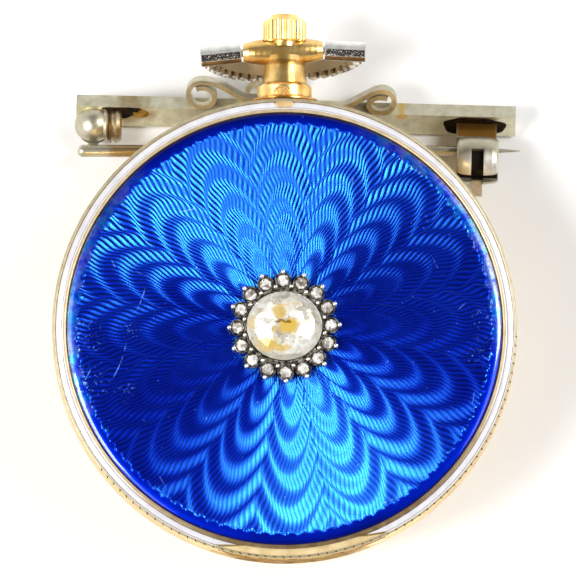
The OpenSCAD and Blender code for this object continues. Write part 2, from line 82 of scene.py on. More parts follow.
class Graph:
    """Builds the nodes of one material or world."""

    def __init__(self, name, owner=None):
        self.owner = owner or bpy.data.materials.new(name)
        self.owner.use_nodes = True
        self.tree = self.owner.node_tree
        self.tree.nodes.clear()

    def add(self, kind, inputs=None, **settings):
        node = self.tree.nodes.new("ShaderNode" + kind)
        for key, value in settings.items():
            setattr(node, key, value)
        for key, value in (inputs or {}).items():
            self.set(node, key, value)
        return node

    def set(self, node, key, value):
        """Links a socket, or sets a value. Colours are given without their alpha."""
        socket = node.inputs[key]
        if isinstance(value, bpy.types.NodeSocket):
            self.tree.links.new(value, socket)
        else:
            socket.default_value = (*value, 1) if socket.type == "RGBA" else value

    def math(self, operation, a, b=0.0):
        return self.add("Math", {0: a, 1: b}, operation=operation).outputs[0]

    def times(self, a, b):
        return self.math("MULTIPLY", a, b)

    def plus(self, a, b):
        return self.math("ADD", a, b)

    def minus(self, a, b):
        return self.math("SUBTRACT", a, b)

    def larger(self, a, b):
        return self.math("MAXIMUM", a, b)

    def largest(self, values):
        return functools.reduce(self.larger, values)

    def vector(self, operation, a, b=(0, 0, 0)):
        return self.add("VectorMath", {0: a, 1: b}, operation=operation).outputs[0]

    def here(self):
        return self.add("TexCoord").outputs["Object"]

    def millimetres(self, place):
        scaled = self.vector("SCALE", place)
        scaled.node.inputs["Scale"].default_value = 1 / MM
        return scaled

    def split(self, place):
        return self.add("SeparateXYZ", {"Vector": place}).outputs

    def axes(self):
        """Place in the piece's own coordinates, as three values in millimetres."""
        return self.split(self.millimetres(self.here()))

    def noise(self, scale_per_mm, detail=3.0, roughness=0.5, stretch=None, offset=None):
        """Noise in the piece's own coordinates, with its scale in cells a millimetre."""
        place = self.millimetres(self.here())
        if stretch:
            place = self.vector("MULTIPLY", place, stretch)
        if offset:
            place = self.vector("ADD", place, offset)
        settings = {"Vector": place, "Scale": scale_per_mm, "Detail": detail, "Roughness": roughness}
        return self.add("TexNoise", settings).outputs["Fac"]

    def cells(self, place, scale, channel=0):
        """A random value for each cell of a broken pattern."""
        pattern = self.add("TexVoronoi", {"Vector": place, "Scale": scale, "Randomness": 1.0})
        return self.add("SeparateColor", {0: pattern.outputs["Color"]}).outputs[channel]

    def ramp(self, value, stops):
        """Colour or, where the stops hold one number each, grey."""
        node = self.add("ValToRGB", {"Fac": value})
        ramp = node.color_ramp
        while len(ramp.elements) < len(stops):
            ramp.elements.new(0.5)
        for element, (place, colour) in zip(ramp.elements, stops):
            element.position = place
            if isinstance(colour, float):
                colour = (colour, colour, colour)
            element.color = (*colour, 1)
        return node.outputs["Color"]

    def shades(self, noise, dark, light):
        return self.ramp(noise, [(0.3, dark), (0.7, light)])

    def spread(self, noise, low, high):
        """The middle of a noise's range mapped onto low to high."""
        return self.between(noise, 0.3, 0.7, low, high)

    def between(self, value, low, high, to_low=0.0, to_high=1.0):
        """Maps low to high onto to_low to to_high, held level outside."""
        limits = {"From Min": low, "From Max": high, "To Min": to_low, "To Max": to_high}
        return self.add("MapRange", {"Value": value, **limits}).outputs["Result"]

    def mix(self, share, a, b, blend="MIX"):
        """Colour a with b over it. Inputs 6 and 7 and output 2 are the node's colours."""
        return self.add("Mix", {"Factor": share, 6: a, 7: b}, data_type="RGBA", blend_type=blend).outputs[2]

    def bump(self, height, distance_mm, strength):
        sizes = {"Height": height, "Distance": distance_mm * MM, "Strength": strength}
        return self.add("Bump", sizes).outputs["Normal"]

    def local(self, place, turn):
        """Millimetres in a frame given by its place in millimetres and its turn in radians."""
        settings = {"Vector": self.here(), "Location": tuple(c * MM for c in place), "Rotation": turn}
        node = self.add("Mapping", settings, vector_type="TEXTURE")
        return self.split(self.millimetres(node.outputs[0]))

    def blob(self, axes, centre, size, edge=0.15):
        """1 inside an ellipsoid round centre, fading to 0 over its edge."""
        parts = [self.math("POWER", self.math("DIVIDE", self.minus(axis, middle), half), 2.0)
                 for axis, middle, half in zip(axes, centre, size)]
        return self.between(functools.reduce(self.plus, parts), 1.0 + edge, 1.0 - edge)

    def wobble(self, value, amount, scale_per_mm):
        """Value with noise of the given amount, for ragged edges."""
        return self.plus(value, self.between(self.noise(scale_per_mm, 3), 0.2, 0.8, -amount, amount))

    def polar(self):
        """Radius, angle from -pi to pi and height round the case's axis, in millimetres and radians."""
        x, y, z = self.axes()
        flat = self.add("CombineXYZ", {"X": x, "Y": y}).outputs[0]
        radius = self.add("VectorMath", {0: flat}, operation="LENGTH").outputs["Value"]
        return radius, self.math("ARCTAN2", y, x), z

    def whole_turn(self, angle):
        """The angle brought into 0 to a whole turn."""
        return self.math("MODULO", self.plus(angle, TAU), TAU)

    def principled(self, **values):
        """A surface. Values are its inputs, in small letters and with underscores."""
        node = self.add("BsdfPrincipled")
        for key, value in values.items():
            self.set(node, key.replace("_", " ").title().replace("Ior", "IOR"), value)
        return node

    def finish(self, shader):
        output = self.add("OutputMaterial")
        self.tree.links.new(shader.outputs[0], output.inputs["Surface"])
        return self.owner

    def surface(self, colour, roughness, **more):
        """The finished material, where one surface is all of it."""
        return self.finish(self.principled(base_color=colour, roughness=roughness, **more))


def new_object(name, verts, faces, smooth=True):
    """A mesh with its points in millimetres, in the part's frame."""
    mesh = bpy.data.meshes.new(name)
    mesh.from_pydata([tuple(c * MM for c in v) for v in verts], [], faces)
    mesh.update()
    if smooth:
        mesh.shade_smooth()
    return new(name, mesh)


def quads(rows, columns, round_rows=False, round_columns=False):
    """The four corners, one way round, of each cell in a grid of points that may close on itself."""
    for i in range(rows if round_rows else rows - 1):
        for j in range(columns if round_columns else columns - 1):
            a, b = i * columns, (i + 1) % rows * columns
            k = (j + 1) % columns
            yield a + j, a + k, b + k, b + j


def at(r, angle, z):
    """A point given by its radius and angle round the case's axis."""
    return (r * cos(angle), r * sin(angle), z)


def dress(piece, material):
    piece.data.materials.clear()
    piece.data.materials.append(material)


def put(piece, material, body, replaced=()):
    """Dresses a piece, lets it ride its body and hides the parts that it replaces."""
    dress(piece, material)
    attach(piece, body)
    if replaced:
        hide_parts(*replaced)


# Share of gold that mirrors; the rest is rubbed dull. The lid's edges are rubbed most
GOLD_MIRROR = 0.86
EDGE_MIRROR = 0.5


def gold_material(name="yellow gold", wear=1.0, rich=(0.86, 0.52, 0.13), pale=(1.0, 0.78, 0.36), dull=0.24,
                  mirror=GOLD_MIRROR):
    """Polished yellow gold, clouded in colour, gently uneven, with hairlines in its gloss."""
    g = Graph(name)
    clouds = g.noise(0.9, 4)
    swell = g.noise(0.5, 0)
    scratch = g.noise(1.1, 2, 0.5, stretch=(5.0, 0.8, 2.0))
    colour = g.shades(clouds, rich, pale)
    worn = g.times(g.plus(clouds, scratch), 0.5)
    roughness = g.between(worn, 0.35, 0.7, dull, dull + 0.1 * wear)
    normal = g.bump(swell, 0.05, 0.3 * wear)
    return g.surface(colour, roughness, metallic=mirror, normal=normal)


# The brooch's own frame: x along the bar, y across its back, z out of it
BAR_LEAN = radians(65)
BAR_TURN = radians(-1.573)
BAR_HALF_WIDTH = 1.1
BAR_HALF_THICK = 0.45
OFF_FLOOR = 0.003
BAR_PLACE = (0.74, 14.9, BAR_HALF_WIDTH * sin(BAR_LEAN) + BAR_HALF_THICK * cos(BAR_LEAN) + OFF_FLOOR)
# In that frame: axis of the catch as y and z, height and width at which the bare bar ends, where the ball
# joint begins and where the painted shade of its two creases lies, and how high its fitting and the catch's
# brown foot reach
CATCH_AXIS = (-0.25, 2.93)
BARE_Z, BARE_Y = (0.52, 0.46), (1.2, 1.12)
JOINT_X, CREASE_SHADE_X, FAINT_CREASE_SHADE_X = (-11.3, -11.5), -12.05, -11.7
FITTING_TOP, FOOT_TOP = (2.5, 2.35), (1.62, 1.5)


def worn_metal(g, dark, middle, light):
    """Colour, roughness and normal of old white gold that has yellowed and gathered dirt."""
    clouds = g.noise(1.3, 5, 0.6)
    fine = g.noise(7.0, 3)
    colour = g.ramp(clouds, [(0.28, dark), (0.5, middle), (0.74, light)])
    specks = g.times(g.between(fine, 0.72, 0.8), 0.5)
    colour = g.mix(specks, colour, tuple(c * 0.6 for c in dark))
    roughness = g.between(fine, 0.3, 0.75, 0.34, 0.46)
    normal = g.bump(g.plus(g.times(clouds, 1.5), fine), 0.002, 0.2)
    return colour, roughness, normal


# Painted brown shade on the side under the lip: its middle, how far from there it fades and ends, in
# radians, and the radii and heights between which it sets in
LIP_SHADE_ANGLE = radians(272)
LIP_SHADE_FADE, LIP_SHADE_END = 0.24, 0.36
LIP_SHADE_RADII = (14.9, 14.96)
LIP_SHADE_HEIGHTS = (7.98, 7.86)
# Painted shade in the creases across the neck: place along y and reach in millimetres, and strength
CREASE_SHADES = [(17.55, 0.16, 0.75), (16.15, 0.1, 0.6), (15.15, 0.12, 0.6), (19.1, 0.2, 0.4)]


def rim_material():
    """Gold of the case and its back lid, with painted brown shade on the side under the lip and painted
    shade in the neck's creases.
    """
    g = Graph("case gold")
    clouds = g.noise(0.9, 4)
    colour = g.shades(clouds, (0.80, 0.46, 0.11), (0.98, 0.73, 0.31))
    radius, angle, height = g.polar()
    # Painted brown shade on the side of the case under the lip, matt and not metallic there
    away = g.math("ABSOLUTE", g.minus(g.wobble(g.whole_turn(angle), 0.08, 0.7), LIP_SHADE_ANGLE))
    along = g.between(away, LIP_SHADE_END, LIP_SHADE_FADE)
    side = g.times(g.between(radius, *LIP_SHADE_RADII), g.between(g.wobble(height, 0.12, 1.6), *LIP_SHADE_HEIGHTS))
    patches = g.between(g.noise(1.2, 3, offset=(5, 1, 2)), 0.38, 0.62)
    brown = g.mix(patches, (0.13, 0.05, 0.006), (0.42, 0.23, 0.04))
    lip_shade = g.times(g.times(along, side), 0.92)
    colour = g.mix(lip_shade, colour, brown)
    # Painted shade darkens the creases across the neck
    y = g.wobble(g.axes()["Y"], 0.05, 1.5)
    creases = [g.times(g.blob((y,), (at_y,), (reach,), 0.8), strength) for at_y, reach, strength in CREASE_SHADES]
    colour = g.mix(g.largest(creases), colour, (0.42, 0.16, 0.015))
    roughness = g.between(lip_shade, 0, 1, g.spread(clouds, 0.2, 0.3), 0.7)
    metallic = g.between(lip_shade, 0, 1, GOLD_MIRROR, 0.0)
    normal = g.bump(g.noise(0.6, 1), 0.05, 0.3)
    return g.surface(colour, roughness, metallic=metallic, normal=normal, specular_ior_level=0.1)


# Heights between which the bow turns brown, and radii and heights between which the cluster's beads set in
BOW_BROWN_HEIGHTS = (5.35, 5.0)
CLUSTER_BEAD_RADII = (2.44, 2.56)
CLUSTER_BEAD_HEIGHTS = (9.04, 9.2)


def bow_material():
    """White gold, bright on the ends that turn in the barrel and brown below them."""
    g = Graph("bow metal")
    colour, roughness, normal = worn_metal(g, (0.62, 0.60, 0.56), (0.76, 0.75, 0.71), (0.90, 0.89, 0.86))
    # Browner towards the bottom of the bow
    brown_below = g.between(g.wobble(g.axes()["Z"], 0.15, 1.5), *BOW_BROWN_HEIGHTS)
    colour = g.mix(brown_below, colour, (0.30, 0.22, 0.12))
    return g.surface(colour, roughness, metallic=0.8, normal=normal)


def setting_material():
    """Silver of the cluster: bright on the ring of beads, elsewhere clouded from black to bright."""
    g = Graph("setting silver")
    radius, _, height = g.polar()
    clouds = g.noise(3.4, 4, 0.6)
    stops = [(0.36, (0.05, 0.035, 0.02)), (0.5, (0.30, 0.25, 0.18)), (0.66, (0.72, 0.68, 0.60))]
    top = g.times(g.between(height, *CLUSTER_BEAD_HEIGHTS), g.between(radius, *CLUSTER_BEAD_RADII))
    colour = g.mix(top, g.ramp(clouds, stops), (0.88, 0.86, 0.80))
    return g.surface(colour, g.spread(clouds, 0.2, 0.4), metallic=1.0, normal=g.bump(clouds, 0.03, 0.6))


def grain_material():
    """Tiny grains in the bow's channels, some black and some bright."""
    g = Graph("grain metal")
    fine = g.noise(5.0, 3)
    stops = [(0.35, (0.12, 0.10, 0.08)), (0.6, (0.45, 0.43, 0.40)), (0.75, (0.8, 0.79, 0.76))]
    return g.surface(g.ramp(fine, stops), g.spread(fine, 0.25, 0.45), metallic=1.0)


def brooch_material():
    """Khaki white gold: brown foot under the catch, heat stains, gilt spot, painted shade at the ball
    joint, painted highlight.
    """
    g = Graph("brooch metal")
    colour, roughness, normal = worn_metal(g, (0.46, 0.42, 0.31), (0.58, 0.55, 0.43), (0.68, 0.66, 0.56))
    x, y, z = g.local(BAR_PLACE, (BAR_LEAN, 0.0, BAR_TURN))
    bar = g.times(g.between(z, *BARE_Z), g.between(y, *BARE_Y))
    shade = g.ramp(bar, [(0.0, (0.84, 0.82, 0.78)), (1.0, (1.3, 1.3, 1.22))])
    colour = g.mix(1.0, colour, shade, "MULTIPLY")
    fitting = g.times(g.between(z, 0.5, 0.6), g.between(z, *FITTING_TOP))
    joint = g.times(g.between(x, *JOINT_X), fitting)
    # Painted dark brown shade in the two creases of the ball joint and under the ball
    faint_crease_shade = g.times(g.blob((x,), (FAINT_CREASE_SHADE_X,), (0.1,), 0.5), 0.5)
    crease_shade = g.larger(g.blob((x,), (CREASE_SHADE_X,), (0.13,), 0.5), faint_crease_shade)
    under = g.between(g.wobble(y, 0.1, 2.0), -0.95, -1.3)
    colour = g.mix(g.times(joint, g.larger(crease_shade, under)), colour, (0.16, 0.09, 0.03))
    low = g.between(g.wobble(z, 0.12, 2.0), *FOOT_TOP)
    low = g.times(low, g.between(z, 0.44, 0.52))
    foot = g.times(g.blob((x, y), (11.75, -0.25), (1.55, 1.2)), low)
    colour = g.mix(foot, colour, (0.26, 0.12, 0.02))
    stain = g.blob((g.wobble(x, 0.5, 1.1), g.wobble(y, 0.3, 1.5)), (-10.6, 0.35), (1.3, 0.9), 0.6)
    colour = g.mix(g.times(stain, 0.75), colour, (0.33, 0.2, 0.05))
    gilt = g.blob((g.wobble(x, 0.2, 2.0), y), (6.9, 0.9), (0.36, 0.3), 0.5)
    colour = g.mix(g.times(gilt, 0.8), colour, (0.80, 0.52, 0.12))
    # Painted highlight on the catch's housing: near-white and less metallic
    shine = g.blob((x, y, z), (11.9, 0.75, 3.9), (1.2, 0.8, 0.7), 0.8)
    colour = g.mix(g.times(shine, 0.75), colour, (0.97, 0.96, 0.92))
    metallic = g.between(shine, 0, 1, 0.92, 0.5)
    return g.surface(colour, roughness, metallic=metallic, normal=normal)


def catch_material():
    """The turning safety: painted near-black shade inside, with a beige rubbed lever."""
    g = Graph("catch metal")
    _, y, z = g.local(BAR_PLACE, (BAR_LEAN, 0.0, BAR_TURN))
    across = g.math("POWER", g.minus(y, CATCH_AXIS[0]), 2.0)
    out = g.math("POWER", g.minus(z, CATCH_AXIS[1]), 2.0)
    from_axis = g.math("SQRT", g.plus(across, out))
    # Within 1.3 mm of the axis the rotor is painted near-black, for the shade inside the housing
    far = g.between(from_axis, 1.3, 1.5)
    near = g.between(from_axis, 1.06, 1.02)
    tab = g.shades(g.noise(5.0, 3), (0.56, 0.43, 0.26), (0.76, 0.62, 0.42))
    colour = g.mix(far, g.mix(near, (0.012, 0.009, 0.006), (0.03, 0.02, 0.01)), tab)
    roughness = g.between(far, 0, 1, 0.6, 0.3)
    return g.surface(colour, roughness, metallic=g.times(far, 0.45), specular_ior_level=0.05)


def dark_solder_material(name="black pad", dark=(0.003, 0.002, 0.0015), light=(0.03, 0.016, 0.006)):
    """Dull dark patches, from dark to light: solder, black pads, dark channels and the painted shadow in
    the lip's cuts.
    """
    g = Graph(name)
    clouds = g.noise(3.0, 4)
    colour = g.ramp(clouds, [(0.35, dark), (0.75, light)])
    return g.surface(colour, g.spread(clouds, 0.5, 0.8), specular_ior_level=0.06,
                     normal=g.bump(clouds, 0.05, 0.6))


def steel_material():
    g = Graph("steel")
    fine = g.noise(6.0, 3, stretch=(1, 12, 1))
    return g.surface(g.shades(fine, 0.4, 0.62), g.spread(fine, 0.2, 0.4), metallic=1.0)


def gilt_plate_material():
    """Gilt movement plate with fine circular graining."""
    g = Graph("gilt plate")
    outward = g.add("CombineXYZ", {"X": g.polar()[0]}).outputs[0]
    rings = g.add("TexNoise", {"Vector": outward, "Scale": 9.0}).outputs["Fac"]
    colour = g.ramp(rings, [(0.35, (0.5, 0.42, 0.24)), (0.65, (0.68, 0.6, 0.38))])
    return g.surface(colour, 0.35, metallic=1.0, normal=g.bump(rings, 0.02, 0.5))


def white_enamel_material(name="white enamel", tint=(0.64, 0.635, 0.67)):
    """Opaque fired enamel: slightly uneven white under a wet gloss."""
    g = Graph(name)
    clouds = g.noise(1.1, 3)
    colour = g.ramp(clouds, [(0.3, tuple(c * 0.86 for c in tint)), (0.6, tint)])
    colour = g.mix(g.between(g.noise(7.0, 2), 0.68, 0.78), colour, (0.62, 0.58, 0.5))
    return g.surface(colour, 0.12, coat_weight=0.6, normal=g.bump(clouds, 0.05, 0.2))


def blued_material():
    g = Graph("blued steel")
    colour = g.shades(g.noise(5.0, 2), (0.01, 0.02, 0.12), (0.03, 0.05, 0.28))
    return g.surface(colour, 0.2, metallic=0.9)


def crystal_material():
    g = Graph("crystal")
    roughness = g.between(g.noise(4.0, 4), 0.4, 0.8, 0.02, 0.08)
    return g.surface((0.97, 0.99, 1.0), roughness, ior=1.5, transmission_weight=1.0)


def diamond_material(name, seed):
    """Old rose-cut stones: painted reflections as broken white, grey and brown flashes in angular patches.
    """
    g = Graph(name)
    place = g.vector("ADD", g.millimetres(g.here()), (seed, seed * 0.7, 0))
    flash = g.cells(place, 3.4)
    colour = g.ramp(flash, [(0.0, (0.16, 0.13, 0.10)), (0.3, (0.42, 0.38, 0.33)),
                            (0.6, (0.72, 0.70, 0.66)), (0.85, (0.95, 0.94, 0.92))])
    roughness = g.between(flash, 0, 1, 0.05, 0.15)
    return g.surface(colour, roughness, metallic=0.3, ior=2.2, coat_weight=0.8)


# Painted golden reflections in the centre stone: place and half size in millimetres, and strength
GOLD_FLASHES = [
    (0.35, -0.12, 0.62, 0.55, 1.0), (-0.05, -0.02, 0.4, 0.25, 0.7), (1.3, 0.1, 0.35, 0.22, 0.6),
    (-1.25, -1.15, 0.85, 0.4, 0.9), (-0.5, -1.45, 0.9, 0.3, 0.85), (-2.1, 0.15, 0.32, 0.5, 0.85),
    (-0.35, 0.9, 0.4, 0.5, 0.75), (0.2, 1.35, 0.7, 0.12, 0.6), (-0.7, -0.35, 0.3, 0.25, 0.6),
    (-1.5, -0.65, 0.4, 0.2, 0.6),
]
# Painted dark reflections, in the same form
DARK_FLASHES = [(-0.35, 0.28, 0.42, 0.14, 0.9), (0.1, 0.18, 0.2, 0.1, 0.9), (-1.55, 0.9, 0.3, 0.16, 0.4)]


def centre_diamond_material():
    """A big cloudy rose cut with painted reflections: white and silvery facets, yellow where its gilt cup
    shows.
    """
    g = Graph("centre diamond")
    scaled = g.millimetres(g.here())
    warp = g.add("TexNoise", {"Vector": scaled, "Scale": 1.6, "Detail": 2.0}).outputs["Color"]
    warp = g.vector("MULTIPLY", g.vector("SUBTRACT", warp, (0.5, 0.5, 0.5)), (0.9, 0.9, 0.0))
    place = g.vector("ADD", scaled, warp)
    tone = g.plus(g.times(g.cells(place, 1.25), 0.55), g.times(g.cells(place, 3.1, 1), 0.45))
    colour = g.ramp(tone, [(0.15, (0.26, 0.23, 0.18)), (0.38, (0.52, 0.48, 0.38)),
                           (0.58, (0.66, 0.63, 0.54)), (0.8, (0.84, 0.84, 0.80))])
    x, y, _ = g.split(place)
    for flashes, tint in ((GOLD_FLASHES, (0.66, 0.44, 0.09)), (DARK_FLASHES, (0.22, 0.12, 0.01))):
        for cx, cy, rx, ry, strength in flashes:
            patch = g.times(g.blob((x, y), (cx, cy), (rx, ry), 0.5), strength)
            colour = g.mix(patch, colour, tint)
    outward = g.plus(g.math("POWER", x, 2.0), g.math("POWER", g.times(y, 1.09), 2.0))
    colour = g.mix(g.between(outward, 2.6, 5.2, 0, 0.62), colour, (0.40, 0.37, 0.29))
    normal = g.bump(tone, 0.12, 0.5)
    return g.surface(colour, 0.14, metallic=0.15, ior=1.9, coat_weight=0.2, normal=normal)


# Enamelled back, in millimetres: wavy rays engraved under a blue glaze, and a plain border round them
RAYS = 288
LOBES = 16
WAVE_LENGTH = 2.1
WAVE_SWAY = 0.11
LOBE_HEIGHT = 1.2 * WAVE_LENGTH
LOBE_VALLEY = radians(35.5)
WAVE_PHASE = 0.6
PATTERN_SHIFT = 0.22
ENGRAVED_IN = 2.6
ENGRAVED_OUT = 13.57
ENAMEL_R = 14.04
ENAMEL_EDGE_Z = 8.0
ENAMEL_DOME = 0.6
ENAMEL_BASE_Z = 7.36
GROOVE_SLOPE = 0.36
TEETH = 100
TOOTH_DEPTH = 0.24
ROUNDED_EDGE = 0.45
EDGE_DROP = 0.1
RAY_POINTS = 2
ROWS = 112
BORDER_RADII = [13.62, 13.7, 13.78, 13.85, 13.91, 13.96, 14.0, ENAMEL_R]
# Over how many millimetres the waves calm down at the edge and the grooves run out in the teeth
CALM = 0.5
RUN_OUT = 0.12
WIDEST_GROOVE = 0.8
LEAN_STEP = 0.05


def enamel_height(r):
    """Smooth height of the glaze and its slope at radius r."""
    z = ENAMEL_EDGE_Z + ENAMEL_DOME * (1 - (r / ENAMEL_R) ** 2)
    slope = -2 * ENAMEL_DOME * r / ENAMEL_R**2
    over = max(0.0, r - (ENAMEL_R - ROUNDED_EDGE)) / ROUNDED_EDGE
    return z - EDGE_DROP * over**2, slope - 2 * EDGE_DROP * over / ROUNDED_EDGE


def sway(r, angle):
    """How far a ray is pushed sideways at radius r: waves that step out into lobes."""
    lobe = LOBE_HEIGHT * abs(sin(LOBES / 2 * (angle - LOBE_VALLEY)))
    return WAVE_SWAY * sin(TAU * ((r - lobe) / WAVE_LENGTH - WAVE_PHASE))


def tooth_out(angle):
    """Outer radius of the engraving, which ends in pointed teeth."""
    return ENGRAVED_OUT - TOOTH_DEPTH * (1 - abs((TEETH * angle / TAU) % 1 - 0.5) * 2) ** 0.7


def blue_enamel():
    """Engraved disc: flat-sided grooves along the wavy rays, equally steep where they crowd and spread."""
    around = RAYS * RAY_POINTS
    angles = [TAU * j / around for j in range(around)]
    inner = [ENGRAVED_IN + (ENGRAVED_OUT - ENGRAVED_IN) * i / ROWS for i in range(ROWS + 1)]
    verts, normals, depths = [], [], []
    for r in inner + BORDER_RADII:
        shift = PATTERN_SHIFT * (1 - (r / ENAMEL_R) ** 2)
        z, slope = enamel_height(r)
        calm = min(1.0, max(0.0, (ENAMEL_R - r) / CALM))
        turned = [angle + sway(r, angle) / r * calm for angle in angles]
        for j in range(around):
            gap = (turned[(j + 1) % around] - turned[j - 1]) % TAU * r
            a, b = angles[j], turned[j]
            lean = (sway(r + LEAN_STEP, a) - sway(r - LEAN_STEP, a)) / (2 * LEAN_STEP)
            fade = min(1.0, max(0.0, (tooth_out(b) - r) / RUN_OUT))
            high = (0.5 - j % 2) * 2 * GROOVE_SLOPE * min(gap, WIDEST_GROOVE)
            ridge = high / 4 / hypot(1, lean) * fade
            verts.append((r * cos(b) + shift, r * sin(b), z + ridge))
            normals.append(Vector((-slope * cos(b), -slope * sin(b), 1)).normalized())
            depths.append(j % 2 * fade)
    for ring_r in (ENAMEL_R, ENGRAVED_IN):
        shift = PATTERN_SHIFT * (1 - (ring_r / ENAMEL_R) ** 2)
        for angle in angles:
            verts.append((ring_r * cos(angle) + shift, ring_r * sin(angle), ENAMEL_BASE_Z))
            normals.append(Vector((0, 0, 1)))
            depths.append(0.0)
    faces = [(a, d, c, b) for a, b, c, d in quads(len(verts) // around, around, True, True)]
    piece = new_object("engraved_enamel", verts, faces, smooth=False)
    glaze = piece.data.attributes.new("glaze", "FLOAT_VECTOR", "POINT")
    glaze.data.foreach_set("vector", np.array(normals, np.float32).ravel())
    depth = piece.data.attributes.new("depth", "FLOAT", "POINT")
    depth.data.foreach_set("value", np.array(depths, np.float32))
    return piece


# Scratches in the glaze: place in millimetres, direction in degrees, half length and strength
SCRATCHES = [
    (-10.55, -2.2, 69, 1.43, 1.0), (-9.2, 1.9, 70, 0.87, 0.9), (-11.05, 4.2, 296, 0.28, 0.9),
    (-9.15, 3.5, 341, 0.5, 0.6), (-12.7, -3.06, 62, 0.5, 1.0), (4.4, 9.6, 80, 0.5, 0.6),
    (9.9, 3.9, 300, 0.9, 0.6), (11.2, 1.2, 40, 0.7, 0.6), (6.8, -11.2, 20, 0.6, 0.5),
    (-7.9, -9.9, 120, 0.6, 0.5), (-6.1, 7.7, 15, 0.8, 0.6), (12.2, -4.4, 80, 0.6, 0.6),
]
# Smudges of fine pale specks: place and radius in millimetres
SMUDGES = [
    (-9.86, -0.15, 0.5), (-10.2, -4.2, 0.6), (-12.9, -0.6, 1.1), (-12.5, -3.6, 1.0),
    (12.9, 0.4, 0.8), (12.6, -1.6, 0.9),
]
# Sectors in which the plain border turns paler and mottled: middle and half width in degrees, and strength
PALE_BORDER_SECTORS = [(32, 40, 0.85), (160, 30, 0.7), (190, 16, 0.6)]


def blue_enamel_material():
    """Metal through blue glass: a broad deep shine mixed with a narrow azure one, under a glaze."""
    g = Graph("blue enamel")
    radius, angle, _ = g.polar()
    stored = g.add("Attribute", attribute_name="glaze").outputs["Vector"]
    glaze = g.add("VectorTransform", {0: stored}, vector_type="NORMAL", convert_from="OBJECT",
                  convert_to="WORLD").outputs[0]
    clouds = g.noise(0.35, 3)
    tooth = g.times(g.math("PINGPONG", g.times(angle, TEETH / TAU), 0.5), 2.0)
    border = g.minus(ENGRAVED_OUT, g.times(g.math("POWER", tooth, 0.7), TOOTH_DEPTH))
    engraved = g.between(g.minus(radius, border), -0.04, 0.04, 1.0, 0.0)
    deep = g.mix(engraved, (0.0, 0.018, 0.80), (0.0, 0.006, 0.95))
    azure = g.mix(engraved, (0.0, 0.02, 0.20), (0.018, 0.15, 0.18))
    hollow = g.between(g.add("Attribute", attribute_name="depth").outputs["Fac"], 0.35, 1.0, 0.0, 0.78)
    deep = g.mix(hollow, deep, (0.0, 0.002, 0.08))
    azure = g.mix(hollow, azure, (0.0, 0.02, 0.05))
    # Paler, mottled blue on the plain border in three sectors round the ring
    pale_sectors = []
    for middle, half, strength in PALE_BORDER_SECTORS:
        facing = g.math("COSINE", g.minus(angle, radians(middle)))
        near = g.between(facing, cos(radians(half)), cos(radians(half * 0.4)))
        pale_sectors.append(g.times(near, strength))
    mottled = g.between(g.noise(1.7, 4, 0.7, offset=(3, 7, 0)), 0.38, 0.58, 0.1, 1.0)
    border_band = g.between(g.wobble(g.minus(radius, border), 0.3, 1.6), -0.15, 0.12)
    pale_border = g.times(g.times(g.largest(pale_sectors), mottled), border_band)
    patches = g.noise(0.9, 2, offset=(1, 2, 0))
    pale_tint = g.ramp(patches, [(0.4, (0.02, 0.34, 0.90)), (0.6, (0.18, 0.24, 0.78))])
    deep = g.mix(pale_border, deep, pale_tint)
    azure = g.mix(pale_border, azure, pale_tint)
    x, y, _ = g.axes()
    lines = []
    for cx, cy, direction, half, strength in SCRATCHES:
        ux, uy = cos(radians(direction)), sin(radians(direction))
        dx, dy = g.minus(x, cx), g.minus(y, cy)
        along = g.plus(g.times(dx, ux), g.times(dy, uy))
        across = g.minus(g.times(dy, ux), g.times(dx, uy))
        bend = g.times(g.math("POWER", along, 2.0), 0.08)
        line = g.between(g.math("ABSOLUTE", g.minus(across, bend)), 0.045, 0.015)
        lines.append(g.times(line, g.between(g.math("ABSOLUTE", along), half, half * 0.5, 0.0, strength)))
    broken = g.between(g.noise(2.5, 3), 0.42, 0.55)
    specks = g.times(g.between(g.noise(4.2, 2, offset=(9, 4, 0)), 0.72, 0.8), 0.7)
    dust = g.between(g.noise(5.0, 3, 0.6, offset=(2, 5, 0)), 0.6, 0.7)
    smudges = [g.blob((x, y), (cx, cy), (reach, reach), 0.9) for cx, cy, reach in SMUDGES]
    marks = g.largest([g.times(g.largest(lines), broken), specks, g.times(g.largest(smudges), dust)])
    worn = g.times(marks, 0.75)
    deep = g.mix(worn, deep, (0.13, 0.32, 1.0))
    azure = g.mix(worn, azure, (0.16, 0.38, 1.0))
    shared = {
        "metallic": g.between(marks, 0, 1, 1.0, 0.2), "normal": g.bump(g.noise(12.0, 3), 0.008, 0.6),
        "coat_weight": 1.0, "coat_ior": 1.45, "coat_roughness": g.between(marks, 0, 1, 0.03, 0.12),
        "coat_normal": glaze,
    }
    mixed = g.add("MixShader", {0: 0.5})
    for slot, tint, low, high in ((1, deep, 0.42, 0.5), (2, azure, 0.2, 0.28)):
        shine = g.principled(base_color=tint, roughness=g.spread(clouds, low, high), **shared)
        g.tree.links.new(shine.outputs[0], mixed.inputs[slot])
    return g.finish(mixed)


# Gold edges of the lid, in millimetres
EDGE_IN, EDGE_OUT = 14.78, 14.985
INNER_IN, INNER_OUT = 14.105, 14.385
RIM_TOP = 8.12
EDGE_RISE = 0.085
INNER_RISE = 0.065
LIP_ANGLE = radians(274.5)
LIP_HALF = radians(21.1)
LIP_SLANT = radians(6.5)
LIP_OVERLAP = 0.03
LIP_CROWN = 0.035
# How deep trim is sunk into the piece below it
SINK = 0.01


def ring_bead(name, low, high, rise):
    """A half-round bead of gold all the way round."""
    verts, around, steps = [], 720, 6
    for j in range(around):
        for i in range(steps + 1):
            t = pi * i / steps
            r = (low + high) / 2 - (high - low) / 2 * cos(t)
            verts.append(at(r, TAU * j / around, RIM_TOP - SINK + rise * sin(t)))
    return new_object(name, verts, list(quads(around, steps + 1, round_rows=True)))


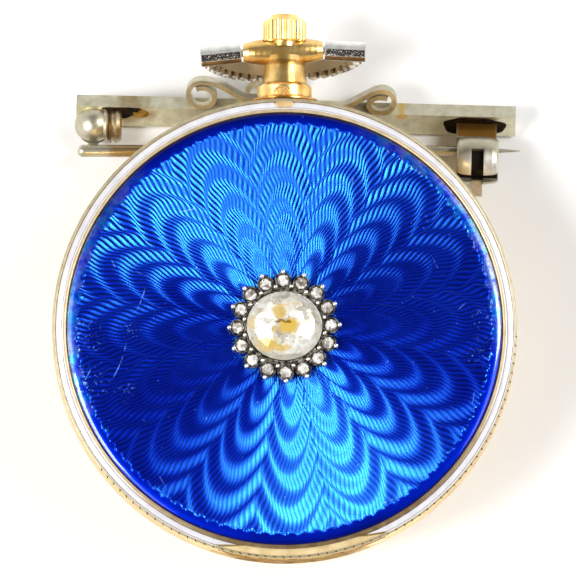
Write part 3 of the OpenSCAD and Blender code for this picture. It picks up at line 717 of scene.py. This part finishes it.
# White enamel on the edges' flanks. On the outer edge: up to which radius, how much that changes round the
# ring, and where it reaches farthest. On the inner edge: the radii between which it sets in
EDGE_WHITE = (0.66, 0.655, 0.69)
WHITE_REACH, WHITE_CHANGE, WHITE_FARTHEST = 14.81, 0.06, radians(290)
INNER_WHITE_RADII = (14.305, 14.325)
# Painted brown shade on the inner edge: its middle, and how far from there it ends and is full
BROWN_SHADE_MIDDLE, BROWN_SHADE_END, BROWN_SHADE_FULL = radians(282), radians(62), radians(25)


def edge_graph(name, rich, pale):
    """Graph, clouds and colour of a rubbed gold edge."""
    g = Graph(name)
    clouds = g.noise(1.6, 4, 0.6)
    return g, clouds, g.shades(clouds, rich, pale)


def finish_edge(g, clouds, colour, metallic):
    fine = g.noise(8.0, 3)
    roughness = g.between(fine, 0.3, 0.75, 0.34, 0.46)
    normal = g.bump(g.plus(g.times(clouds, 2.0), fine), 0.006, 0.4)
    return g.surface(colour, roughness, metallic=metallic, normal=normal)


def outer_edge_material():
    """Rubbed gold of the outer edge, with white enamel up its inner flank beside the lip."""
    g, clouds, colour = edge_graph("outer edge gold", (0.36, 0.30, 0.18), (0.50, 0.43, 0.28))
    radius, angle, _ = g.polar()
    reach = g.times(g.math("COSINE", g.minus(angle, WHITE_FARTHEST)), WHITE_CHANGE)
    reach = g.plus(reach, WHITE_REACH)
    white = g.between(g.minus(g.wobble(radius, 0.015, 1.5), reach), 0.012, -0.012)
    away = g.math("ABSOLUTE", g.minus(g.whole_turn(angle), LIP_ANGLE))
    white = g.times(white, g.between(away, LIP_HALF, LIP_HALF + 0.03))
    metallic = g.between(white, 0.0, 1.0, EDGE_MIRROR, 0.0)
    return finish_edge(g, clouds, g.mix(white, colour, EDGE_WHITE), metallic)


def inner_edge_material():
    """Rubbed gold of the inner edge: painted brown shade towards 6 o'clock, elsewhere white up its outer
    flank.
    """
    g, clouds, colour = edge_graph("inner edge gold", (0.50, 0.38, 0.22), (0.68, 0.55, 0.35))
    radius, angle, _ = g.polar()
    # Painted brown shade towards 6 o'clock, less metallic there
    facing = g.math("COSINE", g.minus(angle, BROWN_SHADE_MIDDLE))
    brown = g.between(facing, cos(BROWN_SHADE_END), cos(BROWN_SHADE_FULL))
    colour = g.mix(g.times(brown, g.spread(clouds, 1.0, 0.8)), colour, (0.11, 0.06, 0.02))
    white = g.between(g.wobble(radius, 0.012, 1.5), *INNER_WHITE_RADII)
    white = g.times(white, g.between(brown, 0.4, 0.15))
    metallic = g.times(g.between(white, 0, 1, EDGE_MIRROR, 0.0), g.between(brown, 0, 1, 1.0, 0.4))
    return finish_edge(g, clouds, g.mix(white, colour, EDGE_WHITE), metallic)


def rim_edges():
    """The gold edges on both sides of the white ring."""
    put(ring_bead("outer_edge", EDGE_IN, EDGE_OUT, EDGE_RISE), outer_edge_material(), "case")
    put(ring_bead("inner_edge", INNER_IN, INNER_OUT, INNER_RISE), inner_edge_material(), "case")


def pad(name, outline, base, top, inset=0.82, crown=0.0):
    """A closed pad with rounded shoulders, top high. Base maps x, y and a lift to a point in space."""
    n = len(outline)
    cx, cy = sum(p[0] for p in outline) / n, sum(p[1] for p in outline) / n
    verts = []
    shoulder = (1.0, 0.0), (1.0, 0.45), ((1 + inset) / 2, 0.85), (inset, 1.0), (inset * 0.5, 1.0 + crown)
    for share, level in shoulder:
        for px, py in outline:
            verts.append(base(cx + (px - cx) * share, cy + (py - cy) * share, level * top))
    verts.append(base(cx, cy, (1.0 + crown * 1.3) * top))
    verts.append(base(cx, cy, 0.0))
    faces = list(quads(5, n, round_columns=True))
    for j in range(n):
        k = (j + 1) % n
        faces.append((4 * n + j, 4 * n + k, 5 * n))
        faces.append((k, j, 5 * n + 1))
    return new_object(name, verts, faces)


def ragged(cx, cy, rx, ry, seed, amount, square=1.0):
    """An uneven oval outline, the same each time. Square below 1 pulls it towards a rectangle."""
    rng = random.Random(seed)
    waves = [(k, rng.uniform(0, TAU), rng.uniform(0.3, 1) / k) for k in range(2, 9)]
    n, points = 48, []
    for j in range(n):
        a = TAU * j / n
        r = 1 + amount * sum(w * sin(k * a + shift) for k, shift, w in waves)
        x, y = (copysign(abs(c) ** square, c) for c in (cos(a), sin(a)))
        points.append((cx + rx * r * x, cy + ry * r * y))
    return points


def moved(x, y, z, turn, place):
    """A point turned about z and then moved to place."""
    c, s = cos(turn), sin(turn)
    return (x * c - y * s + place[0], x * s + y * c + place[1], z + place[2])


def on_back(x, y, lift):
    """A point on the bar's back face, lifted off it."""
    c, s, z = cos(BAR_LEAN), sin(BAR_LEAN), BAR_HALF_THICK + lift
    return moved(x, y * c - z * s, y * s + z * c, BAR_TURN, BAR_PLACE)


def solders():
    """Black pads round the catch's foot and beside the ball joint, and amber solder beside the joint."""
    black = dark_solder_material()
    amber = dark_solder_material("amber solder", (0.16, 0.07, 0.008), (0.42, 0.26, 0.05))
    pads = [
        ("catch_black_pad", ragged(11.55, 0.02, 1.9, 0.98, 3, 0.2, square=0.8), 0.06, black),
        ("joint_black_pad", ragged(-11.2, 0.86, 1.35, 0.2, 5, 0.35), 0.1, black),
        ("web_black_pad", ragged(-11.1, 0.45, 0.5, 0.62, 8, 0.3), 0.12, black),
        ("amber_drop", ragged(-10.15, 0.42, 0.62, 0.42, 11, 0.2), 0.1, amber),
    ]
    for name, outline, top, material in pads:
        put(pad(name, outline, on_back, top), material, "bow")


# Height of the neck's axis, and the bow's pivot frame: x along the barrel, from its middle
NECK_Z = 6.0
BARREL_PLACE = (-0.1, 18.36, NECK_Z)
BARREL_TURN = radians(1.8)
# The bow's ends, here called knuckles: radius, inner end and length, and how far they slope
KNUCKLE_R = 0.64
KNUCKLE_IN = 2.72
KNUCKLE_L = 2.62
KNUCKLE_DROOP = radians(4.2)
# Ends round the knuckle, in degrees, of its dark channel and of its gold strip
CHANNEL_ENDS = (-2, 38)
STRIP_ENDS = (43, 75)
# Rows of grains by their place in degrees, and how far they keep from the channel's ends
GRAIN_ROWS = (3, 15, 27, 36)
GRAINS_IN_ROW = 14
GRAIN_R = 0.066
GRAIN_GAP = 0.12


def knuckle_point(side, along, angle, r):
    """A point on a knuckle: along it from its inner end, angle from straight up towards the case."""
    c, s = cos(-KNUCKLE_DROOP), sin(-KNUCKLE_DROOP)
    y, z = -r * sin(angle), r * cos(angle)
    x, y = side * (KNUCKLE_IN + (along * c - y * s)), along * s + y * c
    return moved(x, y, z, BARREL_TURN, BARREL_PLACE)


def sheet_on(name, point, u0, u1, v0, v1, thick, nu=24):
    """A thin closed strip over the surface that point(u, v, lift) gives."""
    verts, faces, nv = [], [], 8
    for lift in (thick, -SINK):
        for i in range(nu + 1):
            for j in range(nv + 1):
                verts.append(point(u0 + (u1 - u0) * i / nu, v0 + (v1 - v0) * j / nv, lift))
    half = (nu + 1) * (nv + 1)
    for a, b, c, d in quads(nu + 1, nv + 1):
        faces += [(a, b, c, d), (half + a, half + d, half + c, half + b)]
    for i in range(nu):
        for j in (0, nv):
            a, b = i * (nv + 1) + j, (i + 1) * (nv + 1) + j
            faces.append((a, b, half + b, half + a))
    for j in range(nv):
        for i in (0, nu):
            a, b = i * (nv + 1) + j, i * (nv + 1) + j + 1
            faces.append((a, b, half + b, half + a))
    return new_object(name, verts, faces)


def beads(name, places):
    """Little balls, each a centre, a radius and a flattening."""
    verts, faces, rings, around = [], [], 5, 9
    for (cx, cy, cz), r, flat in places:
        start = len(verts)
        verts.append((cx, cy, cz + r * flat))
        for i in range(1, rings):
            t = pi * i / rings
            wide, high = r * sin(t), r * flat * cos(t)
            for j in range(around):
                a = TAU * j / around + i * 0.35
                verts.append((cx + wide * cos(a), cy + wide * sin(a), cz + high))
        verts.append((cx, cy, cz - r * flat))
        last = len(verts) - 1
        for j in range(around):
            k = (j + 1) % around
            faces.append((start, start + 1 + j, start + 1 + k))
            faces.append((last, last - around + k, last - around + j))
        for a, b, c, d in quads(rings - 1, around, round_columns=True):
            faces.append(tuple(start + 1 + i for i in (a, d, c, b)))
    return new_object(name, verts, faces)


def knuckle_trim():
    """On each knuckle a dark channel with rows of tiny grains, and a gold strip below it."""
    rng = random.Random(7)
    dark = dark_solder_material("dark channel", (0.015, 0.013, 0.012), (0.07, 0.06, 0.055))
    grain_metal = grain_material()
    strip_gold = gold_material("strip gold", 1.5, (0.18, 0.11, 0.05), (0.36, 0.24, 0.12), 0.3)
    for side, label in ((-1, "left"), (1, "right")):
        def on(u, degrees, lift):
            return knuckle_point(side, u, radians(degrees), KNUCKLE_R + lift)
        channel = sheet_on("channel_" + label, on, 0.06, KNUCKLE_L - 0.04, *CHANNEL_ENDS, 0.006)
        put(channel, dark, "bow")
        strip = sheet_on("gold_strip_" + label, on, 0.0, KNUCKLE_L, *STRIP_ENDS, 0.02)
        put(strip, strip_gold, "bow")
        grains = []
        for row, v in enumerate(GRAIN_ROWS):
            for i in range(GRAINS_IN_ROW):
                u = GRAIN_GAP + (KNUCKLE_L - 2 * GRAIN_GAP) * (i + 0.5 * (row % 2)) / GRAINS_IN_ROW
                r = GRAIN_R * rng.uniform(0.35, 1.25)
                grains.append((on(u, v + rng.uniform(-5, 5), 0.005), r, 0.8))
        put(beads("grains_" + label, grains), grain_metal, "bow")


# Neck's collar, and the place, radius and half thickness of the bare oval stamp on it
COLLAR_R = 1.77
STAMP_PLACE = (-0.2, 15.4)
STAMP_R = 0.5
STAMP_TUBE = 0.055


def cartouche():
    """A raised oval ring with a worn relief inside, on the collar."""
    def on(x, y, lift):
        r = COLLAR_R + lift
        a = (STAMP_PLACE[0] + x) / COLLAR_R
        return (r * sin(a), STAMP_PLACE[1] + y, NECK_Z + r * cos(a))
    verts, around, tube = [], 48, 8
    for j in range(around):
        a = TAU * j / around
        for i in range(tube):
            t = TAU * i / tube
            r = STAMP_R + STAMP_TUBE * cos(t)
            verts.append(on(r * cos(a), 0.88 * r * sin(a), 0.01 + 0.05 * sin(t)))
    faces = [(a, d, c, b) for a, b, c, d in quads(around, tube, True, True)]
    ring = new_object("stamp_ring", verts, faces)
    rng = random.Random(21)
    lumps = []
    for _ in range(14):
        centre = on(rng.uniform(-0.3, 0.3), rng.uniform(-0.26, 0.26), 0.0)
        lumps.append((centre, rng.uniform(0.05, 0.13), 0.45))
    relief = beads("stamp_relief", lumps)
    floor = pad("stamp_field", ragged(0, 0, 0.46, 0.4, 2, 0.02), on, 0.012)
    warm = gold_material("stamp gold", 1.5, (0.50, 0.26, 0.06), (0.80, 0.54, 0.20), 0.4)
    for piece in (ring, relief, floor):
        put(piece, warm, "case")


# Row of cuts along the outer edge: slanted ticks, arrow-like ones from ARROWS_FROM, dots from DOTS_FROM on
CUTS_FROM, CUTS_TO = radians(218), radians(358)
ARROWS_FROM, DOTS_FROM = radians(254), radians(271)
CUT_PITCH = radians(2.27)
# Half length and half width of each kind of cut, and the heights of its two faces over the edge
ARROW, TICK, DOT = (0.13, 0.036), (0.085, 0.046), (0.062, 0.056)
CUT_LEVELS = (0.012, -0.03)
# Middle and half width of the edge, radius of the cuts, and how much farther out they lie beside the lip
BEAD_R, BEAD_HALF = (EDGE_IN + EDGE_OUT) / 2, (EDGE_OUT - EDGE_IN) / 2
CUT_R, CUT_OUT = 14.89, 0.07
# Toe at 12 o'clock: radius at its middle, half length and half width, and the radius that bends it
TOE_R, TOE_HALF, TOE_HALF_WIDE, TOE_BEND_R = 14.63, 0.62, 0.24, 14.6


def lip_point(u, v, lift):
    """A point on the lip: u from -1 to 1 along it, v from 0 at the inner ring to 1 at the outer edge."""
    angle = LIP_ANGLE + u * (LIP_HALF + LIP_SLANT * (v - 1))
    r = INNER_OUT - LIP_OVERLAP + (EDGE_IN + 2 * LIP_OVERLAP - INNER_OUT) * v
    return at(r, angle, RIM_TOP + LIP_CROWN * sin(pi * v) + lift)


def lip_trim():
    """The gold lip between the white ring's ends, the cuts along the edge, and the toe at 12 o'clock."""
    bright = gold_material("lip gold", 1.2, (0.64, 0.47, 0.22), (0.80, 0.64, 0.36), 0.4, EDGE_MIRROR)
    put(sheet_on("lip_plate", lip_point, -1, 1, 0, 1, 0.025, 64), bright, "case")
    # The cuts are dark solids: painted shadow inside the engraved cuts
    dark = dark_solder_material("cut shadow", (0.035, 0.018, 0.005), (0.14, 0.08, 0.025))
    rng = random.Random(17)
    verts, faces = [], []
    angle = CUTS_FROM
    while angle < CUTS_TO:
        arrow = ARROWS_FROM < angle < DOTS_FROM
        slanted = angle < DOTS_FROM
        long, wide = ARROW if arrow else TICK if slanted else DOT
        lean = radians(rng.uniform(10, 30) if arrow else rng.uniform(40, 60)) if slanted else 0.0
        aside = (abs(angle - LIP_ANGLE) - LIP_HALF * 0.6) / (LIP_HALF * 0.6)
        middle = CUT_R + CUT_OUT * min(1.0, max(0.0, aside))
        start, corners = len(verts), 10
        for level in CUT_LEVELS:
            for i in range(corners):
                t = TAU * i / corners
                a, b = long * cos(t), wide * sin(t)
                along = a * cos(lean) - b * sin(lean)
                r = middle + a * sin(lean) + b * cos(lean)
                turn = angle + along / CUT_R
                drop = EDGE_RISE * (1 - sqrt(max(0.0, 1 - ((r - BEAD_R) / BEAD_HALF) ** 2)))
                verts.append(at(r, turn, RIM_TOP - SINK + EDGE_RISE - drop + level))
        faces.append(tuple(range(start, start + corners)))
        faces.append(tuple(range(start + 2 * corners - 1, start + corners - 1, -1)))
        for a, b, c, d in quads(2, corners, round_columns=True):
            faces.append((start + b, start + a, start + d, start + c))
        angle += CUT_PITCH * (rng.uniform(0.72, 1.02) if arrow else rng.uniform(0.95, 1.05))
    put(new_object("lip_cuts", verts, faces, smooth=False), dark, "case")

    def on_rim(x, y, lift):
        return at(y, pi / 2 + x / TOE_BEND_R, RIM_TOP + lift)
    turns = [TAU * j / 40 for j in range(40)]
    toe = [(TOE_HALF * cos(t), TOE_R + TOE_HALF_WIDE * sin(t)) for t in turns]
    toe_gold = gold_material("toe gold", 1.2, (0.6, 0.4, 0.16), (0.82, 0.62, 0.34), 0.4, EDGE_MIRROR)
    put(pad("toe_plate", toe, on_rim, 0.06, 0.8, 0.1), toe_gold, "case")


# Dial, which faces down, in millimetres: its marks lie between two heights
MARK_LEVELS = (3.99, 4.02)
NUMBER_R = 9.3
NUMBER_H = 2.0
# Outer end of the strokes, and half width and inner end of those at the hours and between them
STROKE_OUT = 11.3
HOUR_STROKE, MINUTE_STROKE = (0.09, 10.75), (0.035, 10.95)


def dial_marks():
    """Hour numbers and a ring of minute strokes, raised from the dial like thick paint."""
    ink = Graph("dial ink")
    colour = ink.shades(ink.noise(6.0, 2), (0.008, 0.008, 0.012), (0.03, 0.03, 0.045))
    material = ink.surface(colour, 0.25, coat_weight=0.4)
    verts, faces = [], []
    for hour in range(1, 13):
        curve = bpy.data.curves.new("number_%02d" % hour, "FONT")
        curve.body = str(hour)
        curve.size = NUMBER_H
        curve.align_x = curve.align_y = "CENTER"
        holder = new(curve.name, curve)
        bpy.context.view_layer.update()
        mesh = bpy.data.meshes.new_from_object(holder)
        angle = TAU * hour / 12
        cx, cy = -NUMBER_R * sin(angle), NUMBER_R * cos(angle)
        start, count = len(verts), len(mesh.vertices)
        for level in MARK_LEVELS:
            verts += [(cx - v.co.x, cy + v.co.y, level) for v in mesh.vertices]
        for polygon in mesh.polygons:
            faces.append(tuple(start + i for i in polygon.vertices))
        for edge in mesh.edges:
            a, b = edge.vertices
            faces.append((start + a, start + b, start + count + b, start + count + a))
        bpy.data.objects.remove(holder)
        bpy.data.meshes.remove(mesh)
    for minute in range(60):
        angle = TAU * minute / 60
        half, inner = HOUR_STROKE if minute % 5 == 0 else MINUTE_STROKE
        ux, uy = -sin(angle), cos(angle)
        start = len(verts)
        for level in MARK_LEVELS:
            for r, side in ((inner, -1), (inner, 1), (STROKE_OUT, 1), (STROKE_OUT, -1)):
                verts.append((ux * r + uy * half * side, uy * r - ux * half * side, level))
        faces.append((start, start + 1, start + 2, start + 3))
        faces += [tuple(start + i for i in corners) for corners in quads(2, 4, round_columns=True)]
    put(new_object("dial_numbers", verts, faces, smooth=False), material, "case")


def dress_cad():
    """Gives each piece that keeps its own solid its material."""
    gold = gold_material()
    rim_gold = rim_material()
    brooch_metal = brooch_material()
    blued = blued_material()
    looks = {
        "case_body": rim_gold, "bezel": gold, "back_rim": rim_gold, "crown": gold,
        "crystal": crystal_material(), "dial": white_enamel_material("dial enamel", (0.88, 0.87, 0.8)),
        "hour_hand": blued, "minute_hand": blued, "movement": gilt_plate_material(),
        "winding_stem": steel_material(), "white_ring": white_enamel_material(),
        "stone_setting": setting_material(), "centre_stone": centre_diamond_material(),
        "bow": bow_material(), "brooch_bar": brooch_metal, "hinge_rivet": brooch_metal,
        "pin_stem": brooch_metal, "catch_rotor": catch_material(),
    }
    melee = [diamond_material("small diamond %d" % i, 5.7 * i) for i in range(4)]
    for name, piece in nodes.items():
        if name == "enamel_disc":
            continue
        is_small = name.startswith(("small_stone", "bow_stone"))
        dress(piece, melee[int(name[-2:]) % 4] if is_small else looks[name])


def add_floor():
    """A pale plane, 3 metres wide."""
    half = 1500
    corners = [(-half, -half, 0), (half, -half, 0), (half, half, 0), (-half, half, 0)]
    piece = new_object("floor", corners, [(0, 1, 2, 3)], smooth=False)
    g = Graph("pale floor")
    dress(piece, g.surface(g.shades(g.noise(0.02, 3), 0.86, 0.9), 0.9))


def add_area(name, azimuth, elevation, distance, size, radiance):
    """A soft box that faces the watch from the given direction, in degrees from +X and above the floor."""
    a, e = radians(azimuth), radians(elevation)
    light = bpy.data.lights.new(name, "AREA")
    light.shape = "RECTANGLE"
    light.size, light.size_y = size
    light.energy = radiance * pi * size[0] * size[1]
    piece = new(name, light)
    piece.location = Vector((cos(e) * cos(a), cos(e) * sin(a), sin(e))) * distance
    piece.rotation_euler = (-piece.location).to_track_quat("-Z", "Y").to_euler()


def add_light():
    """Bright walls, a dark ceiling, and a hard and a soft box on each side."""
    world = bpy.data.worlds.new("studio")
    scene.world = world
    g = Graph("studio", world)
    up = g.split(g.add("TexCoord").outputs["Generated"])["Z"]
    shade = g.ramp(up, [(0.0, 0.95), (0.42, 0.9), (0.6, 0.2), (0.68, 0.03), (1.0, 0.03)])
    seen = g.add("LightPath").outputs["Is Camera Ray"]
    colour = g.mix(seen, shade, (0.95, 0.95, 0.95))
    background = g.add("Background", {"Color": colour, "Strength": 1.0})
    g.tree.links.new(background.outputs[0], g.add("OutputWorld").inputs["Surface"])
    add_area("right_strip", 13, 50, 0.5, (0.09, 0.18), 20.0)
    add_area("left_strip", 196, 50, 0.5, (0.17, 0.18), 18.0)
    add_area("right_box", 14, 48, 0.55, (0.46, 0.26), 3.2)
    add_area("left_box", 194, 48, 0.55, (0.46, 0.26), 3.2)
    scene.view_settings.view_transform = "Standard"


add_camera()
dress_cad()
put(blue_enamel(), blue_enamel_material(), "case", ["enamel_disc"])
rim_edges()
lip_trim()
cartouche()
knuckle_trim()
solders()
dial_marks()
add_floor()
add_light()
